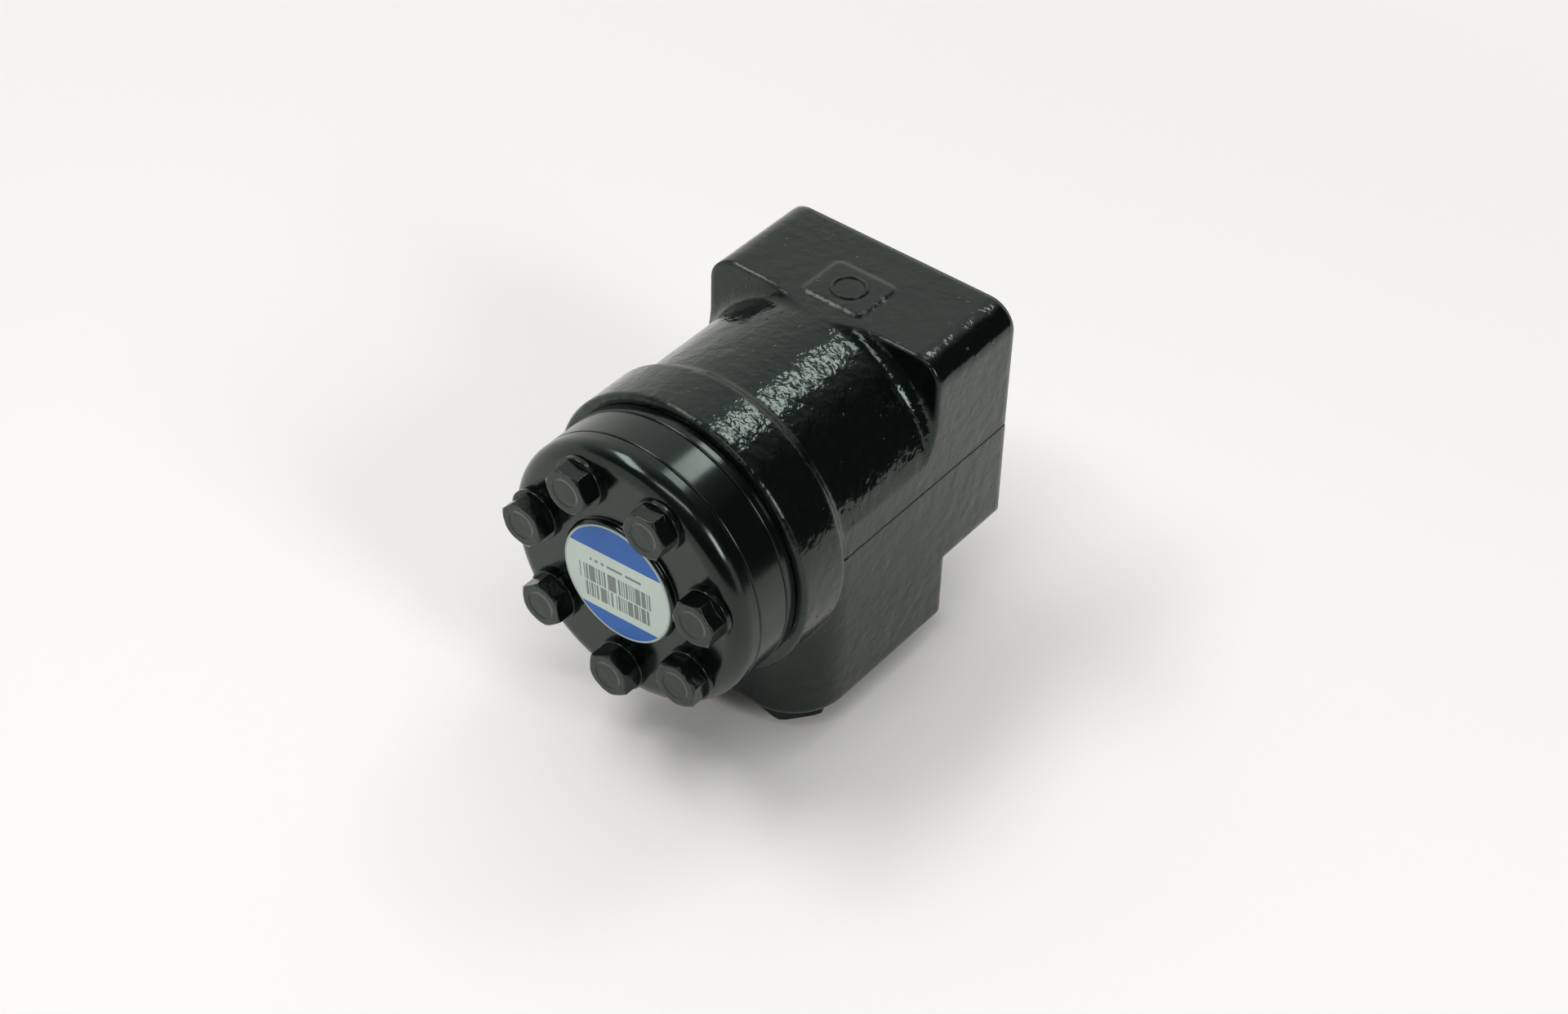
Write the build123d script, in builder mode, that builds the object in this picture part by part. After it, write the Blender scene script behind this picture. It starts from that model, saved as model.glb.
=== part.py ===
from build123d import *
import math
import os

os.makedirs("parts", exist_ok=True)

# Orbital steering unit, in millimetres.
# The origin is the centre of the mounting flange's face, where the steering column bolts on.
# +Y points out of that face along the shaft, +Z is up and the ports face down.
# A depth is a distance from the flange face towards the end cover, so a depth d lies at y = -d.
# Sections across the shaft are drawn on Plane.XZ, whose normal points from the flange to the cover.

# ---------------------------------------------------------------- driving sizes: cast housing
half_width = 41.0            # flat sides of the casting, above the mould's parting line
mould_step = 0.4             # the lower mould half stands this much proud of the upper one
parting_height = -1.0        # height of the parting line
flange_top = 42.0            # top of the flange above the shaft
flange_bottom = 36.0         # underside of the flange below the shaft
flange_thickness = 35.5
flange_top_radius = 8.7      # long upper edges of the flange
flange_bottom_radius = 3.0   # long lower edges of the flange
barrel_radius = 42.0
root_radius = 5.0            # cast fillet between the barrel and the flange
collar_radius = 44.8         # collar that the cover bolts pull against
collar_length = 19.0         # from the machined front face back to the collar's rear shoulder
collar_ramp = 2.0            # length of the collar's sloping rear shoulder
collar_edge = 0.7            # bevel round the collar's machined front edge
housing_depth = 98.6         # depth of the machined front face
block_back = 25.5            # depth of the port block's rear face
block_setback = 5.9          # the port block's front face stands this far behind the machined face
block_bottom = 57.0          # machined port face below the shaft
block_front_radius = 18.5    # tall front corners of the port block
block_back_radius = 3.0      # tall rear corners of the port block
block_edge_radius = 2.0      # lower edges of the port block
pad_width = 21.0             # bare raised pad on top of the flange
pad_length = 17.5
pad_height = 0.6
pad_depth = 23.7             # depth of the pad's centre
pad_corner = 2.0

# ---------------------------------------------------------------- driving sizes: mounts
flange_bolt_circle = 82.5    # four M10 holes for the steering column
flange_hole_radius = 4.25
flange_hole_depth = 18.0
port_spread = 22.5           # ports lie this far each side of the shaft
port_depth_front = 74.0      # depth of the two front ports
port_pitch = 32.0            # distance from the front ports to the rear ones
port_radius = 10.45          # G 1/2 thread
port_length = 16.0

# ---------------------------------------------------------------- driving sizes: plate, gear set, cover
stack_radius = 41.8          # plate, gear ring and cover
plate_thickness = 4.0
ring_thickness = 11.3
cover_thickness = 8.5
cover_edge_radius = 5.5
boss_radius = 19.8           # round boss that carries the label
boss_height = 1.8
boss_edge = 0.5
label_radius = 19.0
label_thickness = 0.3
bolt_circle_radius = 31.5
bolt_count = 7
bolt_hole_radius = 4.2
stack_edge = 0.4             # broken edges of the plate and the gear ring
plate_bore = 11.6
passage_circle = 24.0        # oil passages between the sleeve bore and the gear set
passage_radius = 1.9
passage_length = 14.0
seal_circle = 37.9           # O-rings between the housing, plate, ring and cover
seal_radius = 0.8            # half the O-rings' thickness
groove_width = 1.9
groove_depth = 1.62

lobe_count = 7               # rounded lobes inside the gear ring
lobe_circle = 28.0           # radius of the circle through the lobes' centres
lobe_radius = 6.5
eccentricity = 2.6           # the rotor's centre orbits the shaft axis at this radius
tip_clearance = 0.06         # between the rotor's teeth and the ring
side_clearance = 0.03        # at each face of the rotor

# ---------------------------------------------------------------- driving sizes: fasteners
screw_radius = 3.9           # M8
screw_flats = 13.0
screw_head = 5.3
screw_chamfer = 0.9
screw_reach = 16.0           # length of thread in the housing
washer_radius = 8.0
washer_thickness = 1.6
thread_hole_radius = 4.0
ball_radius = 3.9            # check and suction balls under the screws
ball_travel = 2.0
seat_radius = 2.6            # hole that a ball closes
seat_length = 3.0
chamber_spare = 1.0          # room above the ball, past its travel

# ---------------------------------------------------------------- driving sizes: shaft train
bore_radius = 19.03          # housing bore for the sleeve
sleeve_radius = 19.0
spool_radius = 14.25
spool_clearance = 0.03       # running clearance of the spool in the sleeve
spool_bore = 10.6
nose_depth = 3.0             # the spool's nose lies this far inside the flange face
nose_bore = 10.8             # plain lead-in ahead of the spline
nose_bore_length = 4.0
spline_teeth = 12
spline_inner = 8.9
spline_length = 15.0
spline_gap_inner = 3.2       # widths of the gaps between the socket's spline teeth
spline_gap_outer = 2.2
shaft_gap = 0.35             # between the seals' shoulder and the turning spool
dust_seal_radius = 19.5
dust_seal_depth = 6.2
dust_seal_front = 0.6        # the dust seal lies this far inside the flange face
lip_edge = 0.8
lip_height = 2.2
shaft_seal_radius = 17.5
shaft_seal_start = 7.2
shaft_seal_width = 3.4
race_start = 11.4
race_thickness = 2.0
needle_diameter = 2.0
needle_count = 20
cage_rim = 0.6               # width of the cage's rims beyond the ends of the needles
cage_gap = 0.3               # between the cage and the bore
cage_share = 0.7             # thickness of the cage as a share of the needles' diameter
fit_gap = 0.05               # between pieces that seat in or against each other
end_gap = 0.1                # between pieces that turn face to face
pin_depth = 45.0
pin_radius = 4.0
spool_pin_hole = 6.3         # lets the spool turn a few degrees in the sleeve
leaf_depth = 27.5            # depth of the centring springs' middle
leaf_width = 8.0
leaf_thickness = 0.7
leaf_count = 4
leaf_travel = 2.2            # room for the springs when the spool turns in the sleeve
spring_band = 1.2            # thickness of the spring retainer ring
band_width = 10.0
leaf_side_gap = 0.4
leaf_film = 0.05             # gap between one leaf spring and the next
groove_depths = (56.0, 65.0, 74.0, 83.0, 91.0)
sleeve_groove = 3.0
sleeve_groove_depth = 0.9
metering_depths = (60.5, 69.5, 78.5)
metering_radius = 1.7
land_depths = (60.5, 77.0)   # two rows of milled grooves in the spool
land_length = 14.0
land_count = 6
land_cut = 1.2
land_width = 3.6
pin_fit = 0.02
cardan_radius = 7.2
cardan_fork_radius = 9.4
fork_front = 6.5             # fork ahead of the pin's centre
fork_back = 9.0
fork_taper = 4.0
fork_gap = 0.08              # between the fork's faces and the cross pin
fork_floor_gap = 0.7         # behind the pin, where the shaft tilts as it orbits
cardan_teeth = 12
cardan_head_radius = 9.9
cardan_root_radius = 8.2
rotor_spline_outer = 10.4
rotor_spline_inner = 8.8
tooth_root = 2.6             # widths of the cardan's teeth at their roots and tips
tooth_tip = 1.5
rotor_gap_inner = 3.4        # widths of the gaps between the rotor's spline teeth
rotor_gap_outer = 2.4
crown_drop = 0.35            # the cardan's teeth fall away by this much at their ends
head_end_gap = 0.5
rotor_points = 144           # points that the rotor's outline is drawn through
spacer_thickness = 2.0

# ---------------------------------------------------------------- driving sizes: valves in the port block
valve_depths = (33.0, 47.0, 61.0)
valve_offset = 1.5           # the valves stand a little to the right of the shaft
valve_radius = 5.5
valve_bore_length = 20.0
valve_plug_length = 8.0
valve_hex = 5.0
valve_hex_depth = 4.0
valve_ball_radius = 3.8
valve_seat_radius = 2.4
valve_gallery = 7.0
spring_wire = 0.5
spring_coil = 3.0
spring_turns = 3

# ---------------------------------------------------------------- driving sizes: port plugs
plug_flats = 22.0
plug_collar_radius = 13.5
plug_collar = 2.5
plug_head = 6.5
plug_chamfer = 1.0
plug_shank = 12.0
plug_hex_turn = -52.6        # direction that one flat of each plug faces

# ---------------------------------------------------------------- places worked out from the sizes
pitch = 360 / bolt_count
first_bolt = 270             # one bolt is straight below the shaft
plate_depth = housing_depth
collar_back = housing_depth - collar_length
block_front = housing_depth - block_setback
ring_depth = plate_depth + plate_thickness
cover_depth = ring_depth + ring_thickness
cover_face = cover_depth + cover_thickness
recess_radius = lobe_circle - lobe_radius + 2 * eccentricity + tip_clearance
neck_radius = spool_radius + shaft_gap
shaft_seal_end = shaft_seal_start + shaft_seal_width
race_depth = race_start + fit_gap
cage_depth = race_depth + race_thickness + end_gap
inner_race_depth = cage_depth + needle_diameter + end_gap
sleeve_start = inner_race_depth + race_thickness + fit_gap
sleeve_end = housing_depth - 2 * end_gap
port_depths = (port_depth_front, port_depth_front - port_pitch)
ball_turns = (-1, 0, 1)      # the lowest screw and its two neighbours close ball chambers
ball_chamber = 2 * ball_radius + ball_travel + seat_length + chamber_spare
ball_seat_depth = housing_depth - screw_reach - ball_chamber + seat_length
ball_depth = ball_seat_depth + math.sqrt(ball_radius**2 - seat_radius**2) + fit_gap
head_middle = ring_depth + (ring_thickness - spacer_thickness) / 2
valve_seat_height = -block_bottom + valve_bore_length
valve_ball_drop = math.sqrt(valve_ball_radius**2 - valve_seat_radius**2) + fit_gap
valve_ball_height = valve_seat_height - valve_ball_drop


def hex_head(flats, height, bevel):
    """Hexagon head that stands on the XY plane, its outer corners bevelled at 30 degrees."""
    corner = flats / 2 / math.cos(math.radians(30))
    bevel_drop = bevel * math.tan(math.radians(30))
    with BuildPart() as head:
        with BuildSketch():
            RegularPolygon(flats / 2, 6, major_radius=False)
        extrude(amount=height)
        with BuildSketch(Plane.XZ):
            with BuildLine():
                Polyline((0, 0), (corner + bevel, 0), (corner + bevel, height - 2 * bevel_drop),
                         (corner - bevel, height), (0, height), close=True)
            make_face()
        revolve(axis=Axis.Z, mode=Mode.INTERSECT)
    return head.part


def save(piece, name):
    """Label a finished piece and write it as a STEP file."""
    piece.part.label = name
    export_step(piece.part, f"parts/{name}.step")


# ================================================================ housing
with BuildPart() as housing:
    # Barrel with the cast fillet at its root, cut flat at the sides and top of the flange.
    flare = barrel_radius + root_radius
    barrel_start = (block_back + flange_thickness) / 2
    with BuildSketch(Plane.XY):
        with BuildLine():
            Polyline((0, -barrel_start), (flare, -barrel_start), (flare, -flange_thickness))
            CenterArc((flare, -flange_thickness - root_radius), root_radius, 90, 90)
            Polyline((barrel_radius, -flange_thickness - root_radius),
                     (barrel_radius, -collar_back - collar_ramp), (0, -collar_back - collar_ramp),
                     (0, -barrel_start))
        make_face()
    revolve(axis=Axis.Y)
    with BuildSketch(Plane.XZ):
        with Locations((0, (flange_top - block_bottom) / 2)):
            Rectangle(2 * half_width, flange_top + block_bottom)
        fillet(vertices().group_by(Axis.Y)[-1], flange_top_radius)
    extrude(amount=collar_back + collar_ramp, mode=Mode.INTERSECT)
    # Flange.
    with BuildSketch(Plane.XZ):
        with Locations((0, (flange_top - flange_bottom) / 2)):
            Rectangle(2 * half_width, flange_top + flange_bottom)
        fillet(vertices().group_by(Axis.Y)[-1], flange_top_radius)
        fillet(vertices().group_by(Axis.Y)[0], flange_bottom_radius)
    extrude(amount=flange_thickness)
    with BuildSketch(Plane.XZ):
        with Locations((0, (parting_height - flange_bottom) / 2)):
            Rectangle(2 * (half_width + mould_step), parting_height + flange_bottom)
        fillet(vertices().group_by(Axis.Y)[0], flange_bottom_radius)
    extrude(amount=flange_thickness)
    # Port block below the parting line.
    with BuildSketch(Plane.XY.offset(parting_height)):
        with Locations((0, -(block_front + block_back) / 2)):
            Rectangle(2 * (half_width + mould_step), block_front - block_back)
        fillet(vertices().group_by(Axis.Y)[0], block_front_radius)
        fillet(vertices().group_by(Axis.Y)[-1], block_back_radius)
    extrude(amount=-(parting_height + block_bottom))
    fillet(faces().sort_by(Axis.Z)[0].edges(), block_edge_radius)
    # Collar with its sloping rear shoulder.
    with BuildSketch(Plane.XY):
        with BuildLine():
            Polyline((0, -collar_back), (barrel_radius, -collar_back),
                     (collar_radius, -collar_back - collar_ramp),
                     (collar_radius, -housing_depth + collar_edge),
                     (collar_radius - collar_edge, -housing_depth), (0, -housing_depth), close=True)
        make_face()
    revolve(axis=Axis.Y)
    # Bare raised pad on top of the flange.
    with BuildSketch(Plane.XY.offset(flange_top)):
        with Locations((0, -pad_depth)):
            RectangleRounded(pad_width, pad_length, pad_corner)
    extrude(amount=pad_height)
    # Shaft bore, seal seats and bearing seat.
    with BuildSketch(Plane.XY):
        with BuildLine():
            Polyline((0, 0), (dust_seal_radius + fit_gap, 0), (dust_seal_radius + fit_gap, -dust_seal_depth),
                     (neck_radius, -dust_seal_depth), (neck_radius, -shaft_seal_start),
                     (shaft_seal_radius, -shaft_seal_start), (shaft_seal_radius, -shaft_seal_end),
                     (neck_radius, -shaft_seal_end), (neck_radius, -race_start), (bore_radius, -race_start),
                     (bore_radius, -housing_depth), (0, -housing_depth), close=True)
        make_face()
    revolve(axis=Axis.Y, mode=Mode.SUBTRACT)
    # Threaded holes for the steering column.
    with BuildSketch(Plane.XZ):
        with PolarLocations(flange_bolt_circle / 2, 4, start_angle=45):
            Circle(flange_hole_radius)
    extrude(amount=flange_hole_depth, mode=Mode.SUBTRACT)
    # Threaded holes for the cover screws. Three run on to the check ball and the suction balls.
    with BuildSketch(Plane.XZ.offset(housing_depth)):
        with PolarLocations(bolt_circle_radius, bolt_count, start_angle=first_bolt):
            Circle(thread_hole_radius)
    extrude(amount=-screw_reach - fit_gap, mode=Mode.SUBTRACT)
    with BuildSketch(Plane.XZ.offset(housing_depth - screw_reach)):
        with PolarLocations(bolt_circle_radius, len(ball_turns), start_angle=first_bolt - pitch,
                            angular_range=len(ball_turns) * pitch):
            Circle(thread_hole_radius)
    extrude(amount=-ball_chamber, mode=Mode.SUBTRACT)
    # Groove for the front O-ring, and the passages that feed the gear set.
    with BuildSketch(Plane.XZ.offset(housing_depth)):
        Circle(seal_circle + groove_width / 2)
        Circle(seal_circle - groove_width / 2, mode=Mode.SUBTRACT)
    extrude(amount=-groove_depth, mode=Mode.SUBTRACT)
    with BuildSketch(Plane.XZ.offset(housing_depth)):
        with PolarLocations(passage_circle, bolt_count, start_angle=first_bolt + pitch / 2):
            Circle(passage_radius)
    extrude(amount=-passage_length, mode=Mode.SUBTRACT)
    # Ports and the valve bores between them.
    with BuildSketch(Plane.XY.offset(-block_bottom)):
        for port_depth in port_depths:
            with Locations((-port_spread, -port_depth), (port_spread, -port_depth)):
                Circle(port_radius)
    extrude(amount=port_length, mode=Mode.SUBTRACT)
    with BuildSketch(Plane.XY.offset(-block_bottom)):
        with Locations(*[(valve_offset, -depth) for depth in valve_depths]):
            Circle(valve_radius)
    extrude(amount=valve_bore_length, mode=Mode.SUBTRACT)
    with BuildSketch(Plane.XY.offset(valve_seat_height)):
        with Locations(*[(valve_offset, -depth) for depth in valve_depths]):
            Circle(valve_seat_radius)
    extrude(amount=valve_gallery, mode=Mode.SUBTRACT)
save(housing, "housing")


# ================================================================ seals and bearing at the flange
with BuildPart() as dust_seal:
    lip = spool_radius + fit_gap
    with BuildSketch(Plane.XY):
        with BuildLine():
            Polyline((lip + lip_edge, -dust_seal_front), (lip + lip_height, -dust_seal_front - lip_edge),
                     (dust_seal_radius - lip_height, -dust_seal_front - lip_edge),
                     (dust_seal_radius - lip_edge, -dust_seal_front), (dust_seal_radius, -dust_seal_front),
                     (dust_seal_radius, -dust_seal_depth + fit_gap),
                     (lip + lip_height / 2, -dust_seal_depth + fit_gap),
                     (lip + lip_height / 2, -dust_seal_depth + lip_height),
                     (lip, -dust_seal_front - lip_edge), close=True)
        make_face()
    revolve(axis=Axis.Y)
save(dust_seal, "dust_seal")

with BuildPart() as shaft_seal:
    with BuildSketch(Plane.XZ.offset(shaft_seal_start + fit_gap)):
        Circle(shaft_seal_radius - fit_gap)
        Circle(spool_radius + fit_gap, mode=Mode.SUBTRACT)
    extrude(amount=shaft_seal_width - 2 * fit_gap)
save(shaft_seal, "shaft_seal")

with BuildPart() as outer_bearing_race:
    with BuildSketch(Plane.XZ.offset(race_depth)):
        Circle(bore_radius - fit_gap)
        Circle(neck_radius, mode=Mode.SUBTRACT)
    extrude(amount=race_thickness)
save(outer_bearing_race, "outer_bearing_race")

with BuildPart() as needle_cage:
    cage_outer = sleeve_radius - cage_gap
    cage_inner = neck_radius
    with BuildSketch(Plane.XZ.offset(cage_depth + needle_diameter * (1 - cage_share) / 2)):
        Circle(cage_outer)
        Circle(cage_inner, mode=Mode.SUBTRACT)
        with PolarLocations((cage_outer + cage_inner) / 2, needle_count):
            Rectangle(cage_outer - cage_inner - 2 * cage_rim, needle_diameter + 2 * fit_gap, mode=Mode.SUBTRACT)
    extrude(amount=needle_diameter * cage_share)
save(needle_cage, "needle_cage")

with BuildPart() as thrust_needles:
    needle_length = cage_outer - cage_inner - 2 * cage_rim - 2 * fit_gap
    middle = (cage_outer + cage_inner) / 2
    for turn in range(needle_count):
        angle = math.radians(turn * 360 / needle_count)
        outward = Vector(math.cos(angle), 0, math.sin(angle))
        needle_start = outward * (middle - needle_length / 2) - Vector(0, cage_depth + needle_diameter / 2, 0)
        with BuildSketch(Plane(origin=needle_start, z_dir=outward)):
            Circle(needle_diameter / 2)
        extrude(amount=needle_length)
save(thrust_needles, "thrust_needles")

with BuildPart() as inner_bearing_race:
    with BuildSketch(Plane.XZ.offset(inner_race_depth)):
        Circle(sleeve_radius - fit_gap)
        Circle(neck_radius, mode=Mode.SUBTRACT)
    extrude(amount=race_thickness)
save(inner_bearing_race, "inner_bearing_race")

# ================================================================ sleeve, spool and what joins them
leaf_pack = leaf_count * leaf_thickness
with BuildPart() as sleeve:
    with BuildSketch(Plane.XZ.offset(sleeve_start)):
        Circle(sleeve_radius)
    extrude(amount=sleeve_end - sleeve_start)
    # Seat of the spring retainer ring, and the ring grooves that meter the oil.
    with BuildSketch(Plane.XZ.offset(leaf_depth - band_width / 2)):
        Circle(sleeve_radius + 1)
        Circle(sleeve_radius - spring_band - fit_gap, mode=Mode.SUBTRACT)
    extrude(amount=band_width, mode=Mode.SUBTRACT)
    for depth in groove_depths:
        with BuildSketch(Plane.XZ.offset(depth - sleeve_groove / 2)):
            Circle(sleeve_radius + 1)
            Circle(sleeve_radius - sleeve_groove_depth, mode=Mode.SUBTRACT)
        extrude(amount=sleeve_groove, mode=Mode.SUBTRACT)
    with BuildSketch(Plane.XZ.offset(sleeve_start)):
        Circle(spool_radius + spool_clearance)
    extrude(amount=sleeve_end - sleeve_start, mode=Mode.SUBTRACT)
    # Slot for the centring springs, holes for the cross pin and the metering holes.
    with BuildSketch(Plane.YZ):
        with Locations((-leaf_depth, 0)):
            Rectangle(leaf_width + 2 * fit_gap, leaf_pack + 2 * fit_gap)
        with Locations((-pin_depth, 0)):
            Circle(pin_radius + pin_fit)
    extrude(amount=sleeve_radius + 1, both=True, mode=Mode.SUBTRACT)
    for turn, depth in enumerate(metering_depths):
        for spoke in range(3):
            angle = 60 * spoke + 30 * (turn % 2) + 15
            with BuildSketch(Plane(origin=(0, -depth, 0), z_dir=(math.cos(math.radians(angle)), 0,
                                                                 math.sin(math.radians(angle))))):
                Circle(metering_radius)
            extrude(amount=sleeve_radius + 1, both=True, mode=Mode.SUBTRACT)
save(sleeve, "sleeve")

with BuildPart() as spool:
    with BuildSketch(Plane.XZ.offset(nose_depth)):
        Circle(spool_radius)
    extrude(amount=sleeve_end - nose_depth)
    # Lead-in, splined socket for the steering column and bore for the cardan shaft.
    with BuildSketch(Plane.XZ.offset(nose_depth)):
        Circle(nose_bore)
    extrude(amount=nose_bore_length, mode=Mode.SUBTRACT)
    spline_start = nose_depth + nose_bore_length
    with BuildSketch(Plane.XZ.offset(spline_start)):
        Circle(spline_inner)
        with PolarLocations(0, spline_teeth):
            Polygon((spline_inner - 1, -spline_gap_inner / 2), (spool_bore, -spline_gap_outer / 2),
                    (spool_bore, spline_gap_outer / 2), (spline_inner - 1, spline_gap_inner / 2))
    extrude(amount=spline_length, mode=Mode.SUBTRACT)
    with BuildSketch(Plane.XZ.offset(spline_start + spline_length)):
        Circle(spool_bore)
    extrude(amount=sleeve_end - spline_start - spline_length, mode=Mode.SUBTRACT)
    # Slot for the centring springs and holes that let the cross pin swing.
    with BuildSketch(Plane.YZ):
        with Locations((-leaf_depth, 0)):
            Rectangle(leaf_width + 2 * leaf_side_gap, leaf_pack + 2 * leaf_travel)
        with Locations((-pin_depth, 0)):
            Circle(spool_pin_hole)
    extrude(amount=spool_radius + 1, both=True, mode=Mode.SUBTRACT)
    # Milled lands: two rows of short grooves, half a step apart.
    for row, depth in enumerate(land_depths):
        with BuildSketch(Plane.XZ.offset(depth - land_length / 2)):
            with PolarLocations(spool_radius, land_count, start_angle=row * 180 / land_count):
                Rectangle(2 * land_cut, land_width)
        extrude(amount=land_length, mode=Mode.SUBTRACT)
save(spool, "spool")

with BuildPart() as cross_pin:
    with BuildSketch(Plane.YZ):
        with Locations((-pin_depth, 0)):
            Circle(pin_radius)
    extrude(amount=math.sqrt(sleeve_radius**2 - pin_radius**2), both=True)
    chamfer(edges().filter_by(GeomType.CIRCLE), 0.5)
save(cross_pin, "cross_pin")

with BuildPart() as spring_retainer:
    with BuildSketch(Plane.XZ.offset(leaf_depth - band_width / 2 + fit_gap)):
        Circle(sleeve_radius - fit_gap)
        Circle(sleeve_radius - spring_band, mode=Mode.SUBTRACT)
    extrude(amount=band_width - 2 * fit_gap)
save(spring_retainer, "spring_retainer")

with BuildPart() as centring_springs:
    leaf_reach = math.sqrt((sleeve_radius - spring_band - fit_gap)**2 - (leaf_pack / 2)**2) - fit_gap
    for leaf in range(leaf_count):
        height = (leaf - (leaf_count - 1) / 2) * leaf_thickness
        with BuildSketch(Plane.XY.offset(height - leaf_thickness / 2 + leaf_film / 2)):
            with Locations((0, -leaf_depth)):
                SlotOverall(2 * leaf_reach, leaf_width)
        extrude(amount=leaf_thickness - leaf_film)
save(centring_springs, "centring_springs")

# ================================================================ cardan shaft, from cross pin to rotor
cardan_length = math.hypot(head_middle - pin_depth, eccentricity)
cardan_plane = Plane(origin=(0, -pin_depth, 0), x_dir=(1, 0, 0),
                     z_dir=(0, pin_depth - head_middle, eccentricity))
cardan_axis = Axis(origin=cardan_plane.origin, direction=cardan_plane.z_dir)
cardan_section = Plane(origin=cardan_plane.origin, x_dir=(1, 0, 0), z_dir=cardan_plane.y_dir * -1)
head_length = ring_thickness - spacer_thickness - 2 * head_end_gap
with BuildPart() as cardan_shaft:
    # Splined head, crowned so that it can tilt in the rotor.
    with BuildSketch(cardan_plane.offset(cardan_length - head_length / 2)):
        Circle(cardan_root_radius)
        with PolarLocations(0, cardan_teeth):
            Polygon((cardan_root_radius - 1, -tooth_root / 2), (cardan_head_radius, -tooth_tip / 2),
                    (cardan_head_radius, tooth_tip / 2), (cardan_root_radius - 1, tooth_root / 2))
    extrude(amount=head_length)
    with BuildSketch(cardan_section):
        with BuildLine():
            head_start = cardan_length - head_length / 2
            head_end = cardan_length + head_length / 2
            crown = cardan_head_radius - crown_drop
            Polyline((crown, head_end), (0, head_end), (0, head_start), (crown, head_start))
            ThreePointArc((crown, head_start), (cardan_head_radius, cardan_length), (crown, head_end))
        make_face()
    revolve(axis=cardan_axis, mode=Mode.INTERSECT)
    # Shaft and fork.
    with BuildSketch(cardan_section):
        with BuildLine():
            Polyline((0, -fork_front), (cardan_fork_radius - 1, -fork_front),
                     (cardan_fork_radius, 1 - fork_front), (cardan_fork_radius, fork_back),
                     (cardan_radius, fork_back + fork_taper), (cardan_radius, cardan_length),
                     (0, cardan_length), close=True)
        make_face()
    revolve(axis=cardan_axis)
    with BuildSketch(cardan_plane.offset(-fork_front)):
        Rectangle(2 * cardan_fork_radius + 1, 2 * (pin_radius + fork_gap))
    extrude(amount=fork_front + pin_radius + fork_floor_gap, mode=Mode.SUBTRACT)
save(cardan_shaft, "cardan_shaft")

# ================================================================ distributor plate and gear set
with BuildPart() as distributor_plate:
    with BuildSketch(Plane.XZ.offset(plate_depth)):
        Circle(stack_radius)
    extrude(amount=plate_thickness)
    chamfer(edges().filter_by(GeomType.CIRCLE), stack_edge)
    with BuildSketch(Plane.XZ.offset(plate_depth)):
        Circle(plate_bore)
        with PolarLocations(bolt_circle_radius, bolt_count, start_angle=first_bolt):
            Circle(bolt_hole_radius)
        with PolarLocations(passage_circle, bolt_count, start_angle=first_bolt + pitch / 2):
            Circle(passage_radius)
    extrude(amount=plate_thickness, mode=Mode.SUBTRACT)
    with BuildSketch(Plane.XZ.offset(ring_depth)):
        Circle(seal_circle + groove_width / 2)
        Circle(seal_circle - groove_width / 2, mode=Mode.SUBTRACT)
    extrude(amount=-groove_depth, mode=Mode.SUBTRACT)
save(distributor_plate, "distributor_plate")

with BuildPart() as gear_ring:
    with BuildSketch(Plane.XZ.offset(ring_depth)):
        Circle(stack_radius)
    extrude(amount=ring_thickness)
    chamfer(edges().filter_by(GeomType.CIRCLE), stack_edge)
    with BuildSketch(Plane.XZ.offset(ring_depth)):
        Circle(recess_radius)
        with PolarLocations(lobe_circle, lobe_count, start_angle=first_bolt):
            Circle(lobe_radius, mode=Mode.SUBTRACT)
        with PolarLocations(bolt_circle_radius, bolt_count, start_angle=first_bolt):
            Circle(bolt_hole_radius)
    extrude(amount=ring_thickness, mode=Mode.SUBTRACT)
save(gear_ring, "gear_ring")


def rotor_point(angle):
    """Point of the rotor's outline, the envelope of the ring's lobes, drawn a tip clearance inside it."""
    teeth = lobe_count - 1
    turn = math.radians(angle)
    fast = turn * (teeth + 1)
    centre = Vector(lobe_circle * math.cos(turn) - eccentricity * math.cos(fast),
                    lobe_circle * math.sin(turn) - eccentricity * math.sin(fast))
    along = Vector(-lobe_circle * math.sin(turn) + eccentricity * (teeth + 1) * math.sin(fast),
                   lobe_circle * math.cos(turn) - eccentricity * (teeth + 1) * math.cos(fast)).normalized()
    inward = Vector(-along.Y, along.X)
    return centre + inward * (lobe_radius + tip_clearance) + Vector(0, eccentricity)


with BuildPart() as rotor:
    with BuildSketch(Plane.XZ.offset(ring_depth + side_clearance)):
        with BuildLine():
            Spline(*[rotor_point(360 * step / rotor_points) for step in range(rotor_points)], periodic=True)
        make_face()
        with Locations((0, eccentricity)):
            Circle(rotor_spline_inner, mode=Mode.SUBTRACT)
            with PolarLocations(0, cardan_teeth):
                Polygon((rotor_spline_inner - 1, -rotor_gap_inner / 2),
                        (rotor_spline_outer, -rotor_gap_outer / 2),
                        (rotor_spline_outer, rotor_gap_outer / 2),
                        (rotor_spline_inner - 1, rotor_gap_inner / 2), mode=Mode.SUBTRACT)
    extrude(amount=ring_thickness - 2 * side_clearance)
save(rotor, "rotor")

with BuildPart() as spacer:
    with BuildSketch(Plane.XZ.offset(cover_depth - side_clearance)):
        with Locations((0, eccentricity)):
            Circle(rotor_spline_inner - fit_gap)
    extrude(amount=-spacer_thickness)
    chamfer(edges().filter_by(GeomType.CIRCLE), 0.3)
save(spacer, "spacer")

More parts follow.
